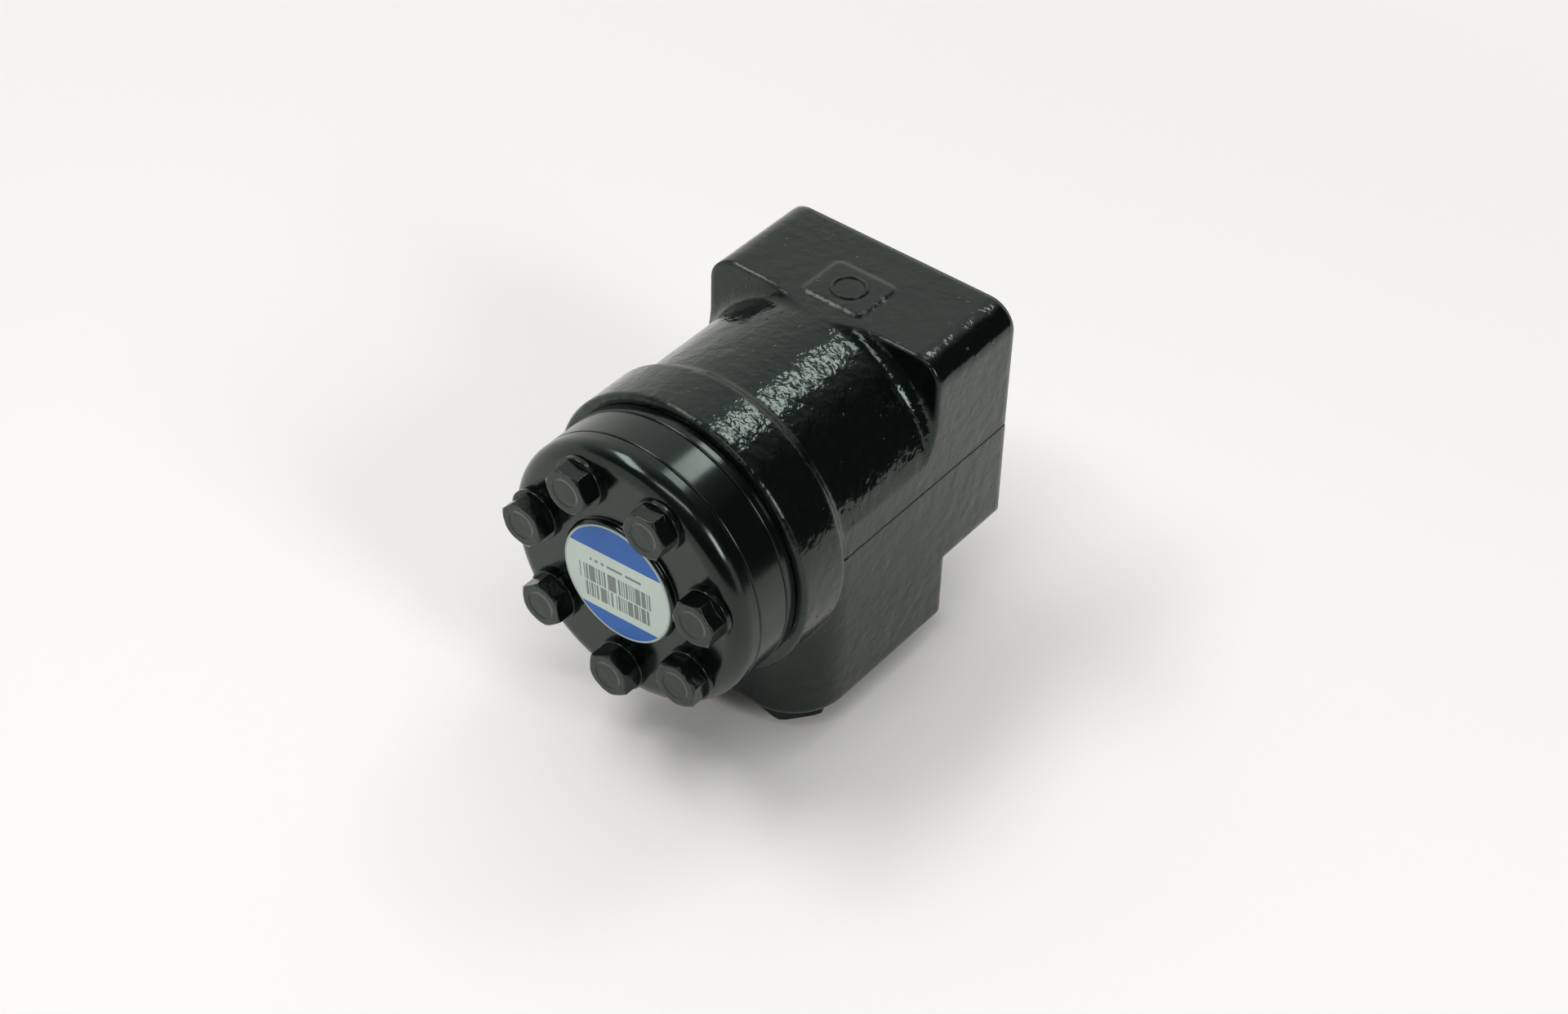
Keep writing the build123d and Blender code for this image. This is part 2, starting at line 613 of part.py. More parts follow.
# ================================================================ end cover and label
with BuildPart() as end_cover:
    with BuildSketch(Plane.XY):
        with BuildLine():
            round_start = stack_radius - cover_edge_radius
            Polyline((round_start, -cover_face), (boss_radius, -cover_face),
                     (boss_radius, boss_edge - boss_height - cover_face),
                     (boss_radius - boss_edge, -cover_face - boss_height), (0, -cover_face - boss_height),
                     (0, -cover_depth), (stack_radius - stack_edge, -cover_depth),
                     (stack_radius, -cover_depth - stack_edge),
                     (stack_radius, cover_edge_radius - cover_face))
            CenterArc((round_start, cover_edge_radius - cover_face), cover_edge_radius, -90, 90)
        make_face()
    revolve(axis=Axis.Y)
    with BuildSketch(Plane.XZ.offset(cover_depth)):
        with PolarLocations(bolt_circle_radius, bolt_count, start_angle=first_bolt):
            Circle(bolt_hole_radius)
    extrude(amount=cover_thickness, mode=Mode.SUBTRACT)
    with BuildSketch(Plane.XZ.offset(cover_depth)):
        Circle(seal_circle + groove_width / 2)
        Circle(seal_circle - groove_width / 2, mode=Mode.SUBTRACT)
    extrude(amount=groove_depth, mode=Mode.SUBTRACT)
save(end_cover, "end_cover")

with BuildPart() as cover_label:
    with BuildSketch(Plane.XZ.offset(cover_face + boss_height)):
        Circle(label_radius)
    extrude(amount=label_thickness)
save(cover_label, "cover_label")

# ================================================================ O-rings
for name, depth in (("housing_o_ring", housing_depth - groove_depth / 2),
                    ("plate_o_ring", ring_depth - groove_depth / 2),
                    ("cover_o_ring", cover_depth + groove_depth / 2)):
    with BuildPart() as o_ring:
        with BuildSketch(Plane.XY):
            with Locations((seal_circle, -depth)):
                Circle(seal_radius)
        revolve(axis=Axis.Y)
    save(o_ring, name)

# ================================================================ cover screws
head_depth = cover_face + washer_thickness
shank_length = head_depth - housing_depth + screw_reach
for name, count, start in (("cover_screws", bolt_count - 1, first_bolt + pitch),
                           ("special_screw", 1, first_bolt)):
    with BuildPart(Plane.XZ.offset(head_depth)) as screws:
        with PolarLocations(bolt_circle_radius, count, start_angle=start, angular_range=count * pitch):
            add(hex_head(screw_flats, screw_head, screw_chamfer))
        with BuildSketch(Plane.XZ.offset(head_depth)):
            with PolarLocations(bolt_circle_radius, count, start_angle=start, angular_range=count * pitch):
                Circle(screw_radius)
        extrude(amount=-shank_length)
    save(screws, name)

with BuildPart() as screw_washers:
    with BuildSketch(Plane.XZ.offset(cover_face)):
        with PolarLocations(bolt_circle_radius, bolt_count, start_angle=first_bolt):
            Circle(washer_radius)
            Circle(bolt_hole_radius, mode=Mode.SUBTRACT)
    extrude(amount=washer_thickness)
save(screw_washers, "screw_washers")

# ================================================================ balls under three of the screws
with BuildPart() as ball_seats:
    with BuildSketch(Plane.XZ.offset(ball_seat_depth)):
        with PolarLocations(bolt_circle_radius, len(ball_turns), start_angle=first_bolt - pitch,
                            angular_range=len(ball_turns) * pitch):
            Circle(thread_hole_radius - fit_gap)
            Circle(seat_radius, mode=Mode.SUBTRACT)
    extrude(amount=-seat_length + fit_gap)
save(ball_seats, "ball_seats")

for name, turn in zip(("suction_ball_left", "check_ball", "suction_ball_right"), ball_turns):
    angle = math.radians(first_bolt + turn * pitch)
    ball_x = bolt_circle_radius * math.cos(angle)
    ball_z = bolt_circle_radius * math.sin(angle)
    with BuildPart() as ball:
        with Locations((ball_x, -ball_depth, ball_z)):
            Sphere(ball_radius)
    save(ball, name)

# ================================================================ relief valve and shock valves
plug_top = valve_plug_length - block_bottom
spring_top = valve_ball_height - math.sqrt((valve_ball_radius + spring_wire)**2 - spring_coil**2) - fit_gap
spring_bottom = plug_top + spring_wire + fit_gap
valve_names = ("shock_valve_rear", "relief_valve", "shock_valve_front")
for name, depth in zip(valve_names, valve_depths):
    with BuildPart() as valve_plug:
        with BuildSketch(Plane.XY.offset(-block_bottom)):
            with Locations((valve_offset, -depth)):
                Circle(valve_radius - fit_gap)
        extrude(amount=valve_plug_length)
        with BuildSketch(Plane.XY.offset(-block_bottom)):
            with Locations((valve_offset, -depth)):
                RegularPolygon(valve_hex / 2, 6, major_radius=False)
        extrude(amount=valve_hex_depth, mode=Mode.SUBTRACT)
    save(valve_plug, f"{name}_plug")
    with BuildPart() as valve_ball:
        with Locations((valve_offset, -depth, valve_ball_height)):
            Sphere(valve_ball_radius)
    save(valve_ball, f"{name}_ball")
    with BuildPart() as valve_spring:
        with BuildLine():
            coil = Helix((spring_top - spring_bottom) / spring_turns, spring_top - spring_bottom, spring_coil,
                         center=(valve_offset, -depth, spring_bottom))
        with BuildSketch(Plane(origin=coil @ 0, z_dir=coil % 0)):
            RegularPolygon(spring_wire, 6)
        sweep(path=coil, is_frenet=True)
    save(valve_spring, f"{name}_spring")

# ================================================================ port plugs
plug_places = [(side * port_spread, -depth) for depth in port_depths for side in (-1, 1)]
downward = Plane(origin=(0, 0, -block_bottom - plug_collar), x_dir=(1, 0, 0), z_dir=(0, 0, -1))
with BuildPart(downward) as port_plugs:
    with Locations(*[(x, -y) for x, y in plug_places]):
        add(hex_head(plug_flats, plug_head, plug_chamfer).rotate(Axis.Z, plug_hex_turn))
    with BuildSketch(Plane.XY.offset(-block_bottom)):
        with Locations(*plug_places):
            Circle(plug_collar_radius)
    extrude(amount=-plug_collar)
    with BuildSketch(Plane.XY.offset(-block_bottom)):
        with Locations(*plug_places):
            Circle(port_radius - fit_gap)
    extrude(amount=plug_shank)
save(port_plugs, "port_plugs")
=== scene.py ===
"""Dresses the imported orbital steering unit: enamel, cast skin, springs, label, floor, lamps and camera."""
import math
from collections import namedtuple

import bmesh
import bpy
from mathutils import Matrix, Vector


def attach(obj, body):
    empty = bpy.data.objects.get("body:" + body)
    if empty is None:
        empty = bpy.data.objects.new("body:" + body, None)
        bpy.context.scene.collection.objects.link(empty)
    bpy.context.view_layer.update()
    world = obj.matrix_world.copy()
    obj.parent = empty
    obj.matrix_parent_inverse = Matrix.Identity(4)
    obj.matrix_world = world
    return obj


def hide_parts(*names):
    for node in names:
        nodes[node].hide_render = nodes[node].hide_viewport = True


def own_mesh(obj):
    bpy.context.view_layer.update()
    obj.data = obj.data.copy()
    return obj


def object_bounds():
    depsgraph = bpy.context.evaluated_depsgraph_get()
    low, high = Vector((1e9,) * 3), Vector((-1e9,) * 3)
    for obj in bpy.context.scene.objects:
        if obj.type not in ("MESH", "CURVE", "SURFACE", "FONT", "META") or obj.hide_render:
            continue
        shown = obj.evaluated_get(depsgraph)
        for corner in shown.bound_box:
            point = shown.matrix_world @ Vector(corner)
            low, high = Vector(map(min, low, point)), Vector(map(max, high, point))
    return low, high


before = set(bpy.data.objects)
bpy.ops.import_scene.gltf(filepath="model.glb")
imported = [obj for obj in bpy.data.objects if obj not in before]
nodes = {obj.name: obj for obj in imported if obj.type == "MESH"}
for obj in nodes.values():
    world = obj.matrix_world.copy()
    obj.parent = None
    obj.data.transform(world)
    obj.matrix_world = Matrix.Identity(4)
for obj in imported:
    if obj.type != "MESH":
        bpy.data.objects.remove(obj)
cad_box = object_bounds()

# ---------------------------------------------------------------- camera, from the photograph
CAMERA_TARGET = Vector((0.0, -0.060, -0.010))
CAMERA_AZIMUTH = 38.04          # degrees
CAMERA_ELEVATION = 41.41
CAMERA_ROLL = 1.39
CAMERA_DISTANCE = 0.8196
CAMERA_LENS = 65.4              # mm
CAMERA_SENSOR = 36              # mm
CAMERA_SHIFT = (0.0119, -0.0097)

# ---------------------------------------------------------------- colours, linear
GLOSS_TINT = (0.76, 0.95, 0.84, 1)
BLACK_ENAMEL = (0.0020, 0.0035, 0.0034, 1)
LABEL_WHITE = (0.60, 0.70, 0.63, 1)
LABEL_BLUE = (0.004, 0.095, 0.42, 1)
LABEL_GREY = (0.045, 0.05, 0.052, 1)
LABEL_EDGE = (0.42, 0.48, 0.45, 1)
PLUG_BLACK = (0.012, 0.013, 0.013, 1)
RUBBER = (0.012, 0.012, 0.012, 1)
STEEL = (0.56, 0.56, 0.55, 1)
SPRING_STEEL = (0.32, 0.31, 0.30, 1)
CAST_DUST = (0.0035, 0.0052, 0.0048, 1)
LABEL_WHITE_SHADE = (0.56, 0.65, 0.60, 1)
LABEL_BLUE_SHADE = (0.006, 0.115, 0.48, 1)
SWEEP = (0.90, 0.885, 0.86, 1)
SWEEP_SEEN = (0.92, 0.905, 0.87, 1)
FLAG_BLACK = (0.01, 0.01, 0.01, 1)
ROOM = (0.07, 0.075, 0.075, 1)
GLOW = (0.82, 0.83, 0.81, 1)

# ---------------------------------------------------------------- the room's glow, in degrees
GLOW_AZIMUTH = -135
GLOW_ELEVATION = 18
GLOW_INNER = 15
GLOW_OUTER = 75

# ---------------------------------------------------------------- sweep, in metres
SWEEP_NEAR = 0.18               # its even level starts to show here, from under the part
SWEEP_FAR = 0.60                # and is all that shows from here on
FLAT_RADIUS = 2.0
SWEEP_RADIUS = 3.2
SWEEP_RINGS = 10
SWEEP_SIDES = 96

# ---------------------------------------------------------------- screws, in metres
SCREWS = 7
SCREW_CIRCLE = 0.0315
DISH_RADIUS = 0.0047
DISH_FLOOR = 0.82               # share of its radius over which the dish is flat
DISH_DEPTH = 0.00022

# ---------------------------------------------------------------- where the cast skin is smoother, in metres
FLANGE_FACE = -0.0002           # machined faces, along Y and Z
PORT_FACE = -0.0568
FLANGE_FRONT = -0.0355          # along Y
FLANGE_FADE = 0.004             # the barrel's skin fades into the flange's over this length
SIDE_STARTS = 0.034
SIDE_FLAT = 0.040
CALM_PATCH = 0.45               # share of the barrel's roughest skin, in its calm patches
SIDE_SHARE = 0.75               # the same, on the flat sides
FLANGE_SHARE = 0.80             # the same, on the flange

# ---------------------------------------------------------------- surface layers
# A layer is noise with so many cells to a metre. As a bump it is depth metres high.
Layer = namedtuple("Layer", "cells detail roughness distortion depth", defaults=(2.0, 0.5, 0.0, 0.0))
CAST_LUMPS = Layer(150, 1, distortion=0.3, depth=0.00022)
CAST_PEBBLES = Layer(260, 1, distortion=0.5, depth=0.00026)
CAST_RIPPLE = Layer(500, 1, distortion=0.8, depth=0.00013)
CAST_GRAIN = Layer(3200, 1, depth=0.000002)
CAST_PATCHES = Layer(34, 2)
DROP_CELLS = 260
DROP_SMOOTHNESS = 0.1
DROP_RADIUS = 0.16              # of a cell
DROP_DEPTH = 0.00020
DROP_PLACES = Layer(90, 1)
PEEL = Layer(380, 1.5, depth=0.000010)
SMOOTH_STAINS = Layer(60, 3)
DUST_CELLS = 420
DUST_SMOOTHNESS = 0.2
DUST_RADIUS = 0.08              # of a cell
DUST_DEPTH = 0.00003
DUST_PLACES = Layer(140, 1)
SCREW_FORGING = Layer(700, 2, distortion=0.5, depth=0.00006)
SCREW_RUNS = Layer(240, 2, depth=0.00014)
PLASTIC_GRAIN = Layer(3000, 2, 0.6, depth=0.00002)
PLASTIC_TONES = Layer(120, 3)
PLASTIC_WAVES = Layer(200, 2, depth=0.00003)
RUBBER_GRAIN = Layer(2600, 3, 0.6, depth=0.00002)
TURNING_MARKS = 5200.0          # to a metre along the shaft axis
TURNING_DEPTH = 0.000006
STEEL_STAINS = Layer(90, 4, 0.6)
STEEL_PITS = Layer(800, 2, depth=0.000006)
PAPER_TONES = Layer(700, 2)
PRINT_TONES = Layer(300, 2)
LABEL_WAVES = Layer(160, 2, depth=0.00004)

# ---------------------------------------------------------------- how far edges look rounded, in metres
CAST_ROUNDING = 0.0024
TURNED_ROUNDING = 0.0006
PLASTIC_ROUNDING = 0.0004
STEEL_ROUNDING = 0.0003
BEVEL_SAMPLES = 8

# ---------------------------------------------------------------- gloss
ENAMEL_IOR = 1.5
PRINT_IOR = 1.45
PRINT_ROUGHNESS = 0.30
RUBBER_ROUGHNESS = 0.62
SWEEP_ROUGHNESS = 0.8
FLAG_ROUGHNESS = 0.9

# ---------------------------------------------------------------- plain ring on the flange's pad, in metres
PAD_CENTRE = Vector((0.0, -0.0237, 0.0426))
# Its section, each point a radius and a height over the pad.
RING_SECTION = ((0.0040, -0.0003), (0.0043, 0.0002), (0.0047, 0.00040), (0.0050, 0.00045),
                (0.0053, 0.00040), (0.0057, 0.0002), (0.0060, -0.0003))
RING_SIDES = 96

# ---------------------------------------------------------------- collar's rear shoulder, in metres
SHOULDER_FOOT = -0.0796         # along Y
SHOULDER_TOP = -0.0816
SHOULDER_SPREAD = 0.0020        # the cast shoulder runs out this much further along the barrel
BLOCK_MEETS = -0.0105           # along Z, where the shoulder runs into the port block
LOWER_HALF = 0.0414             # half width of the casting below its parting line
LOWER_HALF_SEEN = 0.04115       # the same as it shows, with a narrower ledge
PARTING = -0.0010               # along Z
BARREL_RADIUS = 0.0420
COLLAR_RADIUS = 0.0448
ON_PLANE = 1e-5                 # a vertex this near to a plane lies on it
ON_CONE = 3e-5                  # the same for the shoulder's cone
SHARE_SLACK = 0.01              # slack in the share of the way up the shoulder

# ---------------------------------------------------------------- label, in metres from its centre
LABEL_TURN = math.radians(4)
LABEL_BLUE_TOP = 0.0085
LABEL_BLUE_BOTTOM = -0.0122
LABEL_RIM = 0.0184
LABEL_INK = 0.72                # how strongly the bars are printed
# Rows of plain bars, which spell and encode nothing.
BarRow = namedtuple("BarRow", "low high left right pitch share seed")
LABEL_ROWS = (
    BarRow(low=-0.0038, high=0.0019, left=-0.0137, right=0.0120, pitch=0.00038, share=0.60, seed=3.0),
    BarRow(low=-0.0095, high=-0.0043, left=-0.0122, right=0.0112, pitch=0.00038, share=0.56, seed=11.0),
    BarRow(low=0.0040, high=0.0049, left=-0.0095, right=0.0090, pitch=0.0011, share=0.70, seed=23.0),
)


# ---------------------------------------------------------------- material tools
class Shader:
    """A material and short ways to add and join its nodes."""

    def __init__(self, name):
        self.material = bpy.data.materials.new(name)
        self.material.use_nodes = True
        self.tree = self.material.node_tree
        self.surface = self.tree.nodes["Principled BSDF"]
        self.surface.inputs["Specular Tint"].default_value = GLOSS_TINT
        place = self.tree.nodes.new("ShaderNodeTexCoord")
        self.place = place.outputs["Object"]

    def node(self, kind, inputs=None, **settings):
        """Add a node. Inputs are sockets to join or values to set."""
        made = self.tree.nodes.new(kind)
        for key, value in settings.items():
            setattr(made, key, value)
        for key, value in (inputs or {}).items():
            self.put(made.inputs[key], value)
        return made

    def put(self, socket, value):
        """Join a socket to another, or set its value."""
        if isinstance(value, bpy.types.NodeSocket):
            self.tree.links.new(value, socket)
        else:
            socket.default_value = value

    def set(self, **values):
        """Set or join inputs of the surface, by name with _ for a space."""
        for key, value in values.items():
            self.put(self.surface.inputs[key.replace("_", " ")], value)

    def math(self, operation, a, b=0.0, c=0.0):
        """One operation on up to three numbers."""
        return self.node("ShaderNodeMath", {0: a, 1: b, 2: c}, operation=operation).outputs[0]

    def times(self, a, b):
        """Product of two numbers."""
        return self.math("MULTIPLY", a, b)

    def noise(self, layer):
        """Noise of a layer over the object."""
        made = self.node("ShaderNodeTexNoise",
                         {"Vector": self.place, "Scale": layer.cells, "Detail": layer.detail,
                          "Roughness": layer.roughness, "Distortion": layer.distortion})
        return made.outputs["Fac"]

    def cells(self, scale, smoothness):
        """Rounded cells over the object, 0 at their centres."""
        made = self.node("ShaderNodeTexVoronoi", feature="SMOOTH_F1",
                         inputs={"Vector": self.place, "Scale": scale, "Smoothness": smoothness})
        return made.outputs["Distance"]

    def axes(self):
        """Place over the object as x, y and z."""
        return self.node("ShaderNodeSeparateXYZ", {0: self.place}).outputs

    def distance(self, a, b):
        """Distance of the point (a, b) from zero."""
        return self.math("SQRT", self.math("ADD", self.times(a, a), self.times(b, b)))

    def ramp(self, value, low, high, out_low=0.0, out_high=1.0):
        """Value from low to high, spread over out_low to out_high."""
        made = self.node("ShaderNodeMapRange", {"Value": value, "From Min": low, "From Max": high,
                                                "To Min": out_low, "To Max": out_high})
        made.interpolation_type = "SMOOTHSTEP"
        return made.outputs["Result"]

    def mix(self, share, a, b):
        """Colour a where share is 0, and b where it is 1."""
        made = self.node("ShaderNodeMix", data_type="RGBA")
        self.put(made.inputs[0], share)
        self.put(made.inputs[6], a)
        self.put(made.inputs[7], b)
        return made.outputs[2]

    def bumps(self, *layers, rounding=0.0):
        """Lay bump layers, each (height, depth in metres), over rounded edges."""
        normal = None
        if rounding:
            normal = self.node("ShaderNodeBevel", {"Radius": rounding}, samples=BEVEL_SAMPLES).outputs[0]
        for height, depth in layers:
            made = self.node("ShaderNodeBump", {"Height": height, "Distance": depth})
            if normal is not None:
                self.put(made.inputs["Normal"], normal)
            normal = made.outputs[0]
        self.set(Normal=normal)


def cast_enamel():
    """Gloss enamel over a sand casting: lumps, pebbles, ripple, fine grain and a few raised drops."""
    s = Shader("cast_enamel")
    lumps = s.noise(CAST_LUMPS)
    pebbles = s.noise(CAST_PEBBLES)
    ripple = s.noise(CAST_RIPPLE)
    grain = s.noise(CAST_GRAIN)
    x, y, z = s.axes()
    cast = s.times(s.math("LESS_THAN", y, FLANGE_FACE), s.math("GREATER_THAN", z, PORT_FACE))
    patches = s.ramp(s.noise(CAST_PATCHES), 0.35, 0.62, CALM_PATCH, 1.0)
    patches = s.times(patches, s.ramp(s.math("ABSOLUTE", x), SIDE_STARTS, SIDE_FLAT, 1.0, SIDE_SHARE))
    patches = s.times(patches, s.ramp(y, FLANGE_FRONT - FLANGE_FADE, FLANGE_FRONT, 1.0, FLANGE_SHARE))
    drops = s.ramp(s.cells(DROP_CELLS, DROP_SMOOTHNESS), 0.0, DROP_RADIUS, 1.0, 0.0)
    sparse = s.ramp(s.noise(DROP_PLACES), 0.44, 0.56)
    s.set(Base_Color=s.mix(s.ramp(ripple, 0.3, 0.8), BLACK_ENAMEL, CAST_DUST),
          Roughness=s.ramp(grain, 0.3, 0.7, out_low=0.09, out_high=0.13), IOR=ENAMEL_IOR)
    patches = s.times(patches, cast)
    s.bumps((s.times(lumps, cast), CAST_LUMPS.depth), (s.times(pebbles, patches), CAST_PEBBLES.depth),
            (s.times(ripple, patches), CAST_RIPPLE.depth),
            (s.times(drops, s.times(sparse, cast)), DROP_DEPTH),
            (grain, CAST_GRAIN.depth), rounding=CAST_ROUNDING)
    return s.material


def smooth_enamel():
    """The same enamel over turned steel, with a faint orange peel and specks of dust."""
    s = Shader("smooth_enamel")
    peel = s.noise(PEEL)
    dust = s.ramp(s.cells(DUST_CELLS, DUST_SMOOTHNESS), 0.0, DUST_RADIUS, 1.0, 0.0)
    sparse = s.ramp(s.noise(DUST_PLACES), 0.60, 0.68)
    s.set(Base_Color=BLACK_ENAMEL, IOR=ENAMEL_IOR,
          Roughness=s.ramp(s.noise(SMOOTH_STAINS), 0.3, 0.7, out_low=0.15, out_high=0.20))
    s.bumps((peel, PEEL.depth), (s.times(dust, sparse), DUST_DEPTH), rounding=TURNED_ROUNDING)
    return s.material


def screw_enamel():
    """Enamel over forged screw heads: uneven, with a shallow dish in each head."""
    s = Shader("screw_enamel")
    x, _, z = s.axes()
    turn = s.math("ARCTAN2", x, s.times(z, -1.0))
    pitch = math.tau / SCREWS
    turn = s.math("WRAP", turn, pitch / 2, -pitch / 2)
    radius = s.distance(x, z)
    outward = s.math("SUBTRACT", s.times(radius, s.math("COSINE", turn)), SCREW_CIRCLE)
    sideways = s.times(radius, s.math("SINE", turn))
    dish = s.ramp(s.distance(outward, sideways), DISH_RADIUS * DISH_FLOOR, DISH_RADIUS)
    forged = s.noise(SCREW_FORGING)
    runs = s.noise(SCREW_RUNS)
    s.set(Base_Color=s.mix(s.ramp(forged, 0.35, 0.75), BLACK_ENAMEL, CAST_DUST),
          Roughness=s.ramp(runs, 0.3, 0.7, out_low=0.12, out_high=0.20), IOR=ENAMEL_IOR)
    s.bumps((dish, DISH_DEPTH), (runs, SCREW_RUNS.depth), (forged, SCREW_FORGING.depth),
            rounding=TURNED_ROUNDING)
    return s.material


def moulded_plastic():
    """Fine-grained black plastic of the port plugs."""
    s = Shader("moulded_plastic")
    grain = s.noise(PLASTIC_GRAIN)
    s.set(Base_Color=s.mix(s.noise(PLASTIC_TONES), PLUG_BLACK, BLACK_ENAMEL),
          Roughness=s.ramp(grain, 0.2, 0.8, out_low=0.34, out_high=0.5))
    s.bumps((grain, PLASTIC_GRAIN.depth), (s.noise(PLASTIC_WAVES), PLASTIC_WAVES.depth),
            rounding=PLASTIC_ROUNDING)
    return s.material


def seal_rubber():
    """Matt rubber of the seals."""
    s = Shader("seal_rubber")
    grain = s.noise(RUBBER_GRAIN)
    s.set(Base_Color=s.mix(grain, RUBBER, PLUG_BLACK), Roughness=RUBBER_ROUGHNESS)
    s.bumps((grain, RUBBER_GRAIN.depth))
    return s.material


def bare_steel(name, colour, low, high):
    """Steel turned about the shaft axis, with fine marks and faint stains, of roughness low to high."""
    s = Shader(name)
    y = s.axes()["Y"]
    marks = s.node("ShaderNodeTexNoise", {"W": s.times(y, TURNING_MARKS), "Scale": 1.0, "Detail": 2.0},
                   noise_dimensions="1D").outputs["Fac"]
    stain = s.noise(STEEL_STAINS)
    s.set(Base_Color=s.mix(s.ramp(stain, 0.3, 0.8, out_high=0.4), colour, SPRING_STEEL), Metallic=1.0,
          Roughness=s.ramp(stain, 0.25, 0.75, low, high))
    s.bumps((marks, TURNING_DEPTH), (s.noise(STEEL_PITS), STEEL_PITS.depth), rounding=STEEL_ROUNDING)
    return s.material


def cover_label():
    """Printed label: white, a blue segment above and below, and plain grey bars."""
    s = Shader("cover_label")
    x, _, z = s.axes()
    cosine, sine = math.cos(LABEL_TURN), math.sin(LABEL_TURN)
    across = s.math("ADD", s.times(x, cosine), s.times(z, sine))
    upward = s.math("SUBTRACT", s.times(z, cosine), s.times(x, sine))

    def inside(value, low, high):
        """1 where value lies between low and high."""
        above = s.math("GREATER_THAN", value, low)
        return s.times(above, s.math("LESS_THAN", value, high))

    def bars(row):
        """Upright bars of uneven widths in one row."""
        cell = s.math("FLOOR", s.math("DIVIDE", across, row.pitch))
        chance = s.node("ShaderNodeTexWhiteNoise", {"W": s.math("ADD", cell, row.seed)},
                        noise_dimensions="1D").outputs["Value"]
        printed = s.math("LESS_THAN", chance, row.share)
        field = s.times(inside(upward, row.low, row.high), inside(across, row.left, row.right))
        return s.times(printed, field)

    ink = bars(LABEL_ROWS[0])
    for row in LABEL_ROWS[1:]:
        ink = s.math("MAXIMUM", ink, bars(row))
    blue = s.math("MAXIMUM", s.math("GREATER_THAN", upward, LABEL_BLUE_TOP),
                  s.math("LESS_THAN", upward, LABEL_BLUE_BOTTOM))
    paper = s.mix(s.noise(PAPER_TONES), LABEL_WHITE, LABEL_WHITE_SHADE)
    printed = s.mix(s.times(ink, LABEL_INK), paper, LABEL_GREY)
    printed = s.mix(blue, printed, s.mix(s.noise(PRINT_TONES), LABEL_BLUE, LABEL_BLUE_SHADE))
    rim = s.math("GREATER_THAN", s.distance(x, z), LABEL_RIM)
    s.set(Base_Color=s.mix(rim, printed, LABEL_EDGE), Roughness=PRINT_ROUGHNESS, IOR=PRINT_IOR)
    s.bumps((s.noise(LABEL_WAVES), LABEL_WAVES.depth))
    return s.material


def studio_sweep():
    """Pale matt sheet. Past the part's shadow it is seen, directly or mirrored, at an even level."""
    s = Shader("studio_sweep")
    s.set(Base_Color=SWEEP, Roughness=SWEEP_ROUGHNESS, Specular_IOR_Level=0.0)
    x, y, _ = s.axes()
    radius = s.distance(x, s.math("SUBTRACT", y, CAMERA_TARGET.y))
    path = s.node("ShaderNodeLightPath")
    seen = s.math("MAXIMUM", path.outputs["Is Camera Ray"], path.outputs["Is Glossy Ray"])
    seen = s.math("MAXIMUM", seen, path.outputs["Is Transmission Ray"])
    share = s.times(seen, s.ramp(radius, SWEEP_NEAR, SWEEP_FAR))
    glow = s.node("ShaderNodeEmission", {"Color": SWEEP_SEEN, "Strength": 1.0})
    joined = s.node("ShaderNodeMixShader", {0: share, 1: s.surface.outputs[0], 2: glow.outputs[0]})
    s.put(s.tree.nodes["Material Output"].inputs["Surface"], joined.outputs[0])
    return s.material


# ---------------------------------------------------------------- dress the CAD nodes
FINISHES = {
    "cast_enamel": ("housing",),
    "smooth_enamel": ("distributor_plate", "gear_ring", "end_cover"),
    "screw_enamel": ("cover_screws", "special_screw", "screw_washers"),
    "moulded_plastic": ("port_plugs",),
    "seal_rubber": ("cover_o_ring", "plate_o_ring", "housing_o_ring", "dust_seal", "shaft_seal"),
    "cover_label": ("cover_label",),
    "spring_steel": ("centring_springs", "relief_valve_spring", "shock_valve_front_spring",
                     "shock_valve_rear_spring", "needle_cage"),
}
materials = {
    "cast_enamel": cast_enamel(),
    "smooth_enamel": smooth_enamel(),
    "screw_enamel": screw_enamel(),
    "moulded_plastic": moulded_plastic(),
    "seal_rubber": seal_rubber(),
    "cover_label": cover_label(),
    "spring_steel": bare_steel("spring_steel", SPRING_STEEL, low=0.28, high=0.42),
    "ground_steel": bare_steel("ground_steel", STEEL, low=0.16, high=0.30),
}
finish_of = {node: finish for finish, members in FINISHES.items() for node in members}
for name, piece in nodes.items():
    piece.data.materials.clear()
    piece.data.materials.append(materials[finish_of.get(name, "ground_steel")])

# ---------------------------------------------------------------- housing: softer shoulder, narrower ledge
housing = bpy.data.objects.new("housing_skin", nodes["housing"].data.copy())
bpy.context.scene.collection.objects.link(housing)
skin = housing.data
shares = {}
for corner in skin.vertices:
    point = corner.co
    share = (SHOULDER_FOOT - point.y) / (SHOULDER_FOOT - SHOULDER_TOP)
    cone_radius = BARREL_RADIUS + share * (COLLAR_RADIUS - BARREL_RADIUS)
    on_shoulder = -SHARE_SLACK < share < 1 + SHARE_SLACK
    on_cone = abs(math.hypot(point.x, point.z) - cone_radius) < ON_CONE
    if on_shoulder and on_cone and point.z > BLOCK_MEETS:
        shares[corner.index] = share
normals = [Vector(corner.vector) for corner in skin.corner_normals]
slope = Vector((SHOULDER_FOOT - SHOULDER_TOP + SHOULDER_SPREAD, COLLAR_RADIUS - BARREL_RADIUS)).normalized()
for face in skin.polygons:
    reach = [shares.get(index) for index in face.vertices]
    if None not in reach and max(reach) > SHARE_SLACK:
        for loop, index in zip(face.loop_indices, face.vertices):
            point = skin.vertices[index].co
            outward = Vector((point.x, 0, point.z)).normalized()
            normals[loop] = outward * slope.x + Vector((0, slope.y, 0))
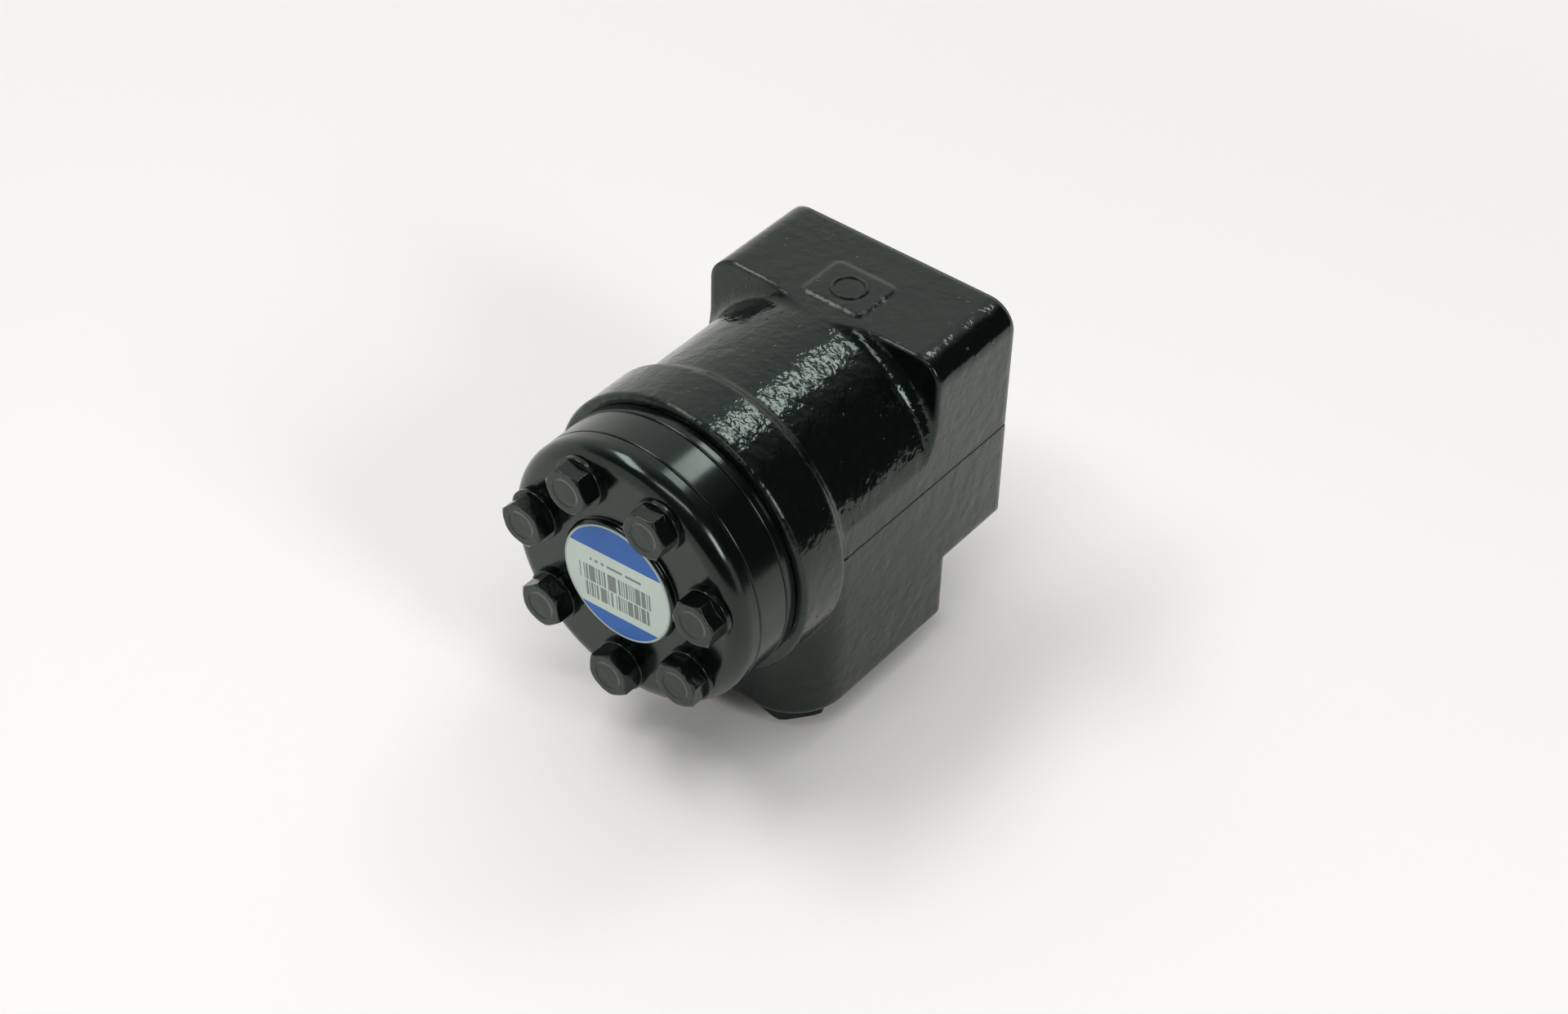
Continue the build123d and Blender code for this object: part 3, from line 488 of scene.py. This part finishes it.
for corner in skin.vertices:
    point = corner.co
    on_side = abs(abs(point.x) - LOWER_HALF) < ON_PLANE
    on_parting = abs(point.z - PARTING) < ON_PLANE
    if on_side and on_parting and point.y > SHOULDER_FOOT - ON_PLANE:
        point.x = math.copysign(LOWER_HALF_SEEN, point.x)
for index, share in shares.items():
    skin.vertices[index].co.y += SHOULDER_SPREAD * (1 - share)
skin.normals_split_custom_set(normals)
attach(housing, "casing")
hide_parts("housing")

# ---------------------------------------------------------------- valve springs, copied from their CAD nodes to ride the casing
for valve in ("relief_valve", "shock_valve_front", "shock_valve_rear"):
    coil = bpy.data.objects.new(f"{valve}_coil", nodes[f"{valve}_spring"].data.copy())
    bpy.context.scene.collection.objects.link(coil)
    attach(coil, "casing")
    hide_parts(f"{valve}_spring")
    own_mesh(coil)

# ---------------------------------------------------------------- plain ring on the pad
shape = bmesh.new()
rounds = [[shape.verts.new(PAD_CENTRE + Vector((radius * math.cos(side * math.tau / RING_SIDES),
                                                radius * math.sin(side * math.tau / RING_SIDES), height)))
           for side in range(RING_SIDES)] for radius, height in RING_SECTION]
for inner, outer in zip(rounds, rounds[1:] + rounds[:1]):
    for side in range(RING_SIDES):
        following = (side + 1) % RING_SIDES
        shape.faces.new((inner[side], outer[side], outer[following], inner[following]))
bmesh.ops.recalc_face_normals(shape, faces=shape.faces)
mesh = bpy.data.meshes.new("pad_ring")
shape.to_mesh(mesh)
shape.free()
mesh.shade_smooth()
mesh.materials.append(materials["cast_enamel"])
pad_ring = bpy.data.objects.new("pad_ring", mesh)
bpy.context.scene.collection.objects.link(pad_ring)
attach(pad_ring, "casing")

# ---------------------------------------------------------------- floor that sweeps up all round
floor_height = cad_box[0].z
shape = bmesh.new()
centre = shape.verts.new((0, 0, floor_height))
ring_before = None
for ring in range(SWEEP_RINGS + 1):
    turn = math.pi / 2 * ring / SWEEP_RINGS
    radius = FLAT_RADIUS + (SWEEP_RADIUS - FLAT_RADIUS) * math.sin(turn)
    height = floor_height + (SWEEP_RADIUS - FLAT_RADIUS) * (1 - math.cos(turn))
    ring_now = [shape.verts.new((radius * math.cos(side * math.tau / SWEEP_SIDES),
                                 radius * math.sin(side * math.tau / SWEEP_SIDES), height))
                for side in range(SWEEP_SIDES)]
    for side in range(SWEEP_SIDES):
        following = (side + 1) % SWEEP_SIDES
        if ring_before is None:
            shape.faces.new((centre, ring_now[side], ring_now[following]))
        else:
            shape.faces.new((ring_before[side], ring_now[side], ring_now[following], ring_before[following]))
    ring_before = ring_now
mesh = bpy.data.meshes.new("sweep")
shape.to_mesh(mesh)
shape.free()
mesh.shade_smooth()
sweep = bpy.data.objects.new("sweep", mesh)
bpy.context.scene.collection.objects.link(sweep)
sweep.data.materials.append(studio_sweep())


# ---------------------------------------------------------------- lamps
def toward(azimuth, elevation):
    """Unit vector: azimuth 0 is -Y, 90 is +X, in degrees."""
    a, e = math.radians(azimuth), math.radians(elevation)
    return Vector((math.sin(a) * math.cos(e), -math.cos(a) * math.cos(e), math.sin(e)))


def softbox(name, azimuth, elevation, distance, width, height, radiance, mirrored=True):
    """Square-edged soft lamp that faces the part. Unless it is mirrored, the gloss doesn't show it."""
    lamp = bpy.data.lights.new(name, "AREA")
    lamp.shape = "RECTANGLE"
    lamp.size = width
    lamp.size_y = height
    lamp.energy = radiance * math.pi * width * height
    placed = bpy.data.objects.new(name, lamp)
    placed.location = CAMERA_TARGET + toward(azimuth, elevation) * distance
    placed.rotation_euler = (CAMERA_TARGET - placed.location).to_track_quat("-Z", "Y").to_euler()
    placed.visible_camera = False
    placed.visible_glossy = mirrored
    bpy.context.scene.collection.objects.link(placed)


def flag(name, azimuth, elevation, distance, width, height):
    """Black card that keeps a part of the room out of the enamel's reflections."""
    half_x, half_y = width / 2, height / 2
    card = bpy.data.meshes.new(name)
    card.from_pydata([(-half_x, -half_y, 0), (half_x, -half_y, 0), (half_x, half_y, 0), (-half_x, half_y, 0)],
                     [], [(0, 1, 2, 3)])
    placed = bpy.data.objects.new(name, card)
    placed.location = CAMERA_TARGET + toward(azimuth, elevation) * distance
    placed.rotation_euler = (CAMERA_TARGET - placed.location).to_track_quat("Z", "Y").to_euler()
    placed.visible_camera = False
    placed.visible_diffuse = False
    placed.visible_shadow = False
    placed.visible_transmission = False
    black = Shader(name)
    black.set(Base_Color=FLAG_BLACK, Roughness=FLAG_ROUGHNESS)
    card.materials.append(black.material)
    bpy.context.scene.collection.objects.link(placed)


softbox("lamp_behind", azimuth=178, elevation=55, distance=1.5, width=0.42, height=0.17, radiance=8.5)
softbox("lamp_above", azimuth=140, elevation=82, distance=1.55, width=1.3, height=1.3, radiance=0.75,
        mirrored=False)
softbox("lamp_front", azimuth=-64, elevation=58, distance=1.5, width=0.95, height=0.36, radiance=9.0)
softbox("lamp_over", azimuth=25, elevation=62, distance=1.5, width=0.95, height=0.12, radiance=11.0)
softbox("lamp_side", azimuth=80, elevation=33, distance=1.5, width=0.34, height=0.50, radiance=12.0)
flag("flag_right", azimuth=130, elevation=18, distance=0.45, width=0.52, height=0.46)
flag("flag_front", azimuth=40, elevation=12, distance=1.0, width=1.7, height=0.55)


# ---------------------------------------------------------------- room
def room():
    """Dim room with one broad soft glow in it, which fades without an edge."""
    world = bpy.data.worlds.new("room")
    world.use_nodes = True
    tree = world.node_tree
    place = tree.nodes.new("ShaderNodeTexCoord")
    nearness = tree.nodes.new("ShaderNodeVectorMath")
    nearness.operation = "DOT_PRODUCT"
    nearness.inputs[1].default_value = toward(GLOW_AZIMUTH, GLOW_ELEVATION)
    tree.links.new(place.outputs["Generated"], nearness.inputs[0])
    spread = tree.nodes.new("ShaderNodeMapRange")
    spread.interpolation_type = "SMOOTHSTEP"
    spread.inputs["From Min"].default_value = math.cos(math.radians(GLOW_OUTER))
    spread.inputs["From Max"].default_value = math.cos(math.radians(GLOW_INNER))
    tree.links.new(nearness.outputs["Value"], spread.inputs["Value"])
    mix = tree.nodes.new("ShaderNodeMix")
    mix.data_type = "RGBA"
    tree.links.new(spread.outputs["Result"], mix.inputs[0])
    mix.inputs[6].default_value = ROOM
    mix.inputs[7].default_value = GLOW
    tree.links.new(mix.outputs[2], tree.nodes["Background"].inputs["Color"])
    bpy.context.scene.world = world


room()

# ---------------------------------------------------------------- camera
back = toward(CAMERA_AZIMUTH, CAMERA_ELEVATION)
right = toward(CAMERA_AZIMUTH + 90, 0)
up = back.cross(right)
roll = math.radians(CAMERA_ROLL)
camera_right = right * math.cos(roll) + up * math.sin(roll)
camera_up = up * math.cos(roll) - right * math.sin(roll)
camera_data = bpy.data.cameras.new("camera")
camera_data.lens = CAMERA_LENS
camera_data.sensor_width = CAMERA_SENSOR
camera_data.shift_x, camera_data.shift_y = CAMERA_SHIFT
camera = bpy.data.objects.new("camera", camera_data)
camera.matrix_world = Matrix.Translation(CAMERA_TARGET + back * CAMERA_DISTANCE) @ Matrix(
    (camera_right, camera_up, back)).transposed().to_4x4()
bpy.context.scene.collection.objects.link(camera)
bpy.context.scene.camera = camera

bpy.context.scene.view_settings.view_transform = "Standard"
